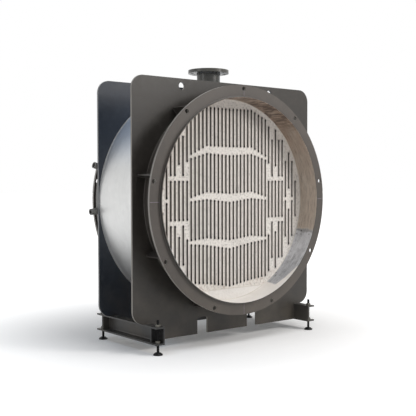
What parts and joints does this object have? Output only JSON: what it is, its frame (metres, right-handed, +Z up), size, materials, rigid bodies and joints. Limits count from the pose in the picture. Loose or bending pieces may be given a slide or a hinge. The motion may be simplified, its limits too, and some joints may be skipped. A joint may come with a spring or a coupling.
{
  "type": "flat-tube gas to water heat exchanger",
  "caption": "Round flanged heat exchanger between two upright plates, with flat tubes in a wavy pattern, a top water nozzle and a levelled frame.",
  "frame": {"origin": "on the floor, under the middle of the whole object's box", "axes": "+Z up, -Y towards the open front neck with the longer stand-off, X across"},
  "size_m": [1.162, 0.5289, 1.312],
  "materials": {
    "dark_paint": "satin dark olive grey",
    "ring_paint": "satin dark grey-brown",
    "shell_sheet": "bright rolled sheet",
    "neck_steel": "dark outside, bare and streaked inside",
    "pale_coat": "matt pale coating",
    "beam_paint": "satin near black",
    "foot_steel": "blackened"
  },
  "bodies": {
    "root": {"front_plate": "dark_paint", "rear_plate": "dark_paint", "front_ribs": "dark_paint", "nozzle_pipe": "dark_paint", "nozzle_flange": "dark_paint", "rear_header_band": "dark_paint", "header_couplings": "dark_paint", "front_ring_flange": "ring_paint", "rear_ring_flange": "ring_paint", "shell": "shell_sheet", "front_neck": "neck_steel", "rear_neck": "neck_steel", "front_tube_sheet": "pale_coat", "rear_tube_sheet": "pale_coat", "front_sheet_segment": "pale_coat", "rear_sheet_segment": "pale_coat", "upper_tubes": "pale_coat", "upper_middle_tubes": "pale_coat", "lower_middle_tubes": "pale_coat", "lower_tubes": "pale_coat", "left_side_tubes": "pale_coat", "right_side_tubes": "pale_coat", "left_beam": "beam_paint", "right_beam": "beam_paint", "beam_stiffeners": "beam_paint", "foot_pads": "foot_steel", "foot_studs": "foot_steel", "stud_nuts": "foot_steel"}
  },
  "joints": []
}
